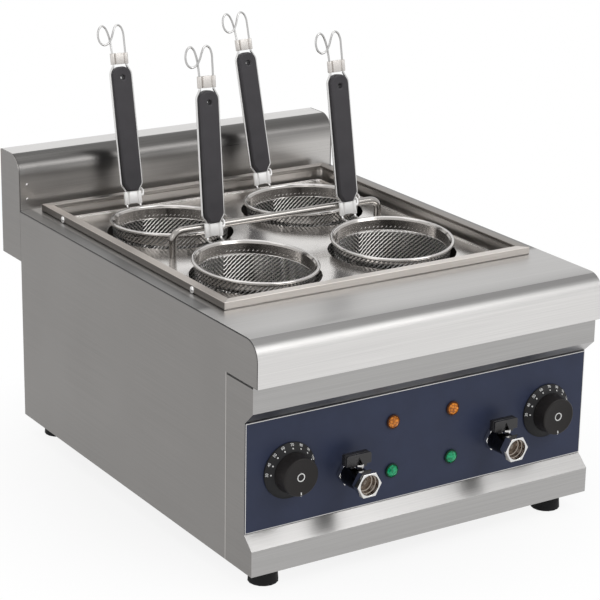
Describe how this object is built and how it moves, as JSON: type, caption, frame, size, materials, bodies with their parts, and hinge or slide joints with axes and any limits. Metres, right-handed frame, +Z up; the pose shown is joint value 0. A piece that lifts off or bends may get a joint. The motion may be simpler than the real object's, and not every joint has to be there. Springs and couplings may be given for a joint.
{
  "type": "countertop pasta cooker",
  "caption": "Countertop electric pasta cooker: a steel housing with a water tank, a lift-out plate with round wire baskets on long handles, thermostat knobs and drain taps.",
  "frame": {"origin": "middle of the cooker's footprint, on the surface that the feet stand on", "axes": "+X to the right as seen from the front, +Y from the front to the back, +Z up"},
  "size_m": [0.4, 0.5544, 0.4565],
  "materials": {
    "housing_steel": "brushed stainless sheet",
    "frame_steel": "brushed stainless bar with mitred corners",
    "tank_steel": "polished stainless",
    "plate_steel": "polished stainless sheet",
    "basket_steel": "woven stainless wire mesh",
    "wire_steel": "polished stainless wire",
    "clamp_steel": "bright nickel",
    "heater_steel": "heat-tinted sheath",
    "panel_overlay": "satin printed overlay",
    "grip_plastic": "satin moulded plastic",
    "knob_plastic": "satin moulded plastic",
    "dial_plastic": "satin moulded plastic",
    "inner_plastic": "plain moulded plastic",
    "amber_lens": "gloss lens",
    "green_lens": "gloss lens",
    "tap_chrome": "chrome-plated brass",
    "tap_plastic": "moulded plastic",
    "foot_rubber": "matt rubber"
  },
  "bodies": {
    "housing": {"worktop": "housing_steel", "side_panel_left": "housing_steel", "side_panel_right": "housing_steel", "fascia": "housing_steel", "control_panel": "panel_overlay", "upstand": "housing_steel", "upstand_cap_left": "housing_steel", "upstand_cap_right": "housing_steel", "base_plate": "housing_steel", "rear_panel": "housing_steel", "foot_front_left": "foot_rubber", "foot_front_right": "foot_rubber", "foot_rear_left": "foot_rubber", "foot_rear_right": "foot_rubber", "tank": "tank_steel", "tank_frame": "frame_steel", "basket_rack": "tank_steel", "heating_element_left": "heater_steel", "heating_element_right": "heater_steel", "dial_ring_left": "dial_plastic", "dial_ring_right": "dial_plastic", "thermostat_left": "inner_plastic", "thermostat_right": "inner_plastic", "heating_lamp_left": "amber_lens", "heating_lamp_right": "amber_lens", "power_lamp_left": "green_lens", "power_lamp_right": "green_lens", "tap_body_left": "tap_chrome", "tap_body_right": "tap_chrome", "drain_pipe_left": "tank_steel", "drain_pipe_right": "tank_steel", "terminal_block": "inner_plastic", "cable_gland": "dial_plastic"},
    "knob_left": {"thermostat_knob_left": "knob_plastic"},
    "knob_right": {"thermostat_knob_right": "knob_plastic"},
    "lever_left": {"tap_lever_left": "tap_plastic"},
    "lever_right": {"tap_lever_right": "tap_plastic"},
    "lift_plate": {"basket_plate": "plate_steel", "plate_handle": "wire_steel"},
    "basket_fl": {"basket_front_left": "basket_steel", "handle_wire_front_left": "wire_steel", "grip_front_left": "grip_plastic", "lower_clamp_front_left": "clamp_steel", "upper_clamp_front_left": "clamp_steel"},
    "basket_fr": {"basket_front_right": "basket_steel", "handle_wire_front_right": "wire_steel", "grip_front_right": "grip_plastic", "lower_clamp_front_right": "clamp_steel", "upper_clamp_front_right": "clamp_steel"},
    "basket_rl": {"basket_rear_left": "basket_steel", "handle_wire_rear_left": "wire_steel", "grip_rear_left": "grip_plastic", "lower_clamp_rear_left": "clamp_steel", "upper_clamp_rear_left": "clamp_steel"},
    "basket_rr": {"basket_rear_right": "basket_steel", "handle_wire_rear_right": "wire_steel", "grip_rear_right": "grip_plastic", "lower_clamp_rear_right": "clamp_steel", "upper_clamp_rear_right": "clamp_steel"}
  },
  "joints": [
    {"name": "knob_left_turn", "type": "hinge", "parent": "housing", "child": "knob_left", "pos_m": [-0.152, -0.24, 0.11405], "axis": [0, 1, 0], "range_deg": [0, 290]},
    {"name": "knob_right_turn", "type": "hinge", "parent": "housing", "child": "knob_right", "pos_m": [0.152, -0.24, 0.11405], "axis": [0, 1, 0], "range_deg": [0, 290]},
    {"name": "tap_left_turn", "type": "hinge", "parent": "housing", "child": "lever_left", "pos_m": [-0.087, -0.25425, 0.0985], "axis": [0, 0, 1], "range_deg": [0, 90]},
    {"name": "tap_right_turn", "type": "hinge", "parent": "housing", "child": "lever_right", "pos_m": [0.087, -0.25425, 0.0985], "axis": [0, 0, 1], "range_deg": [0, 90]},
    {"name": "plate_lift", "type": "slide", "parent": "housing", "child": "lift_plate", "axis": [0, 0, 1], "range_m": [0, 0.16]},
    {"name": "basket_fl_lift", "type": "slide", "parent": "lift_plate", "child": "basket_fl", "axis": [0, 0, 1], "range_m": [0, 0.15]},
    {"name": "basket_fr_lift", "type": "slide", "parent": "lift_plate", "child": "basket_fr", "axis": [0, 0, 1], "range_m": [0, 0.15]},
    {"name": "basket_rl_lift", "type": "slide", "parent": "lift_plate", "child": "basket_rl", "axis": [0, 0, 1], "range_m": [0, 0.15]},
    {"name": "basket_rr_lift", "type": "slide", "parent": "lift_plate", "child": "basket_rr", "axis": [0, 0, 1], "range_m": [0, 0.15]}
  ]
}
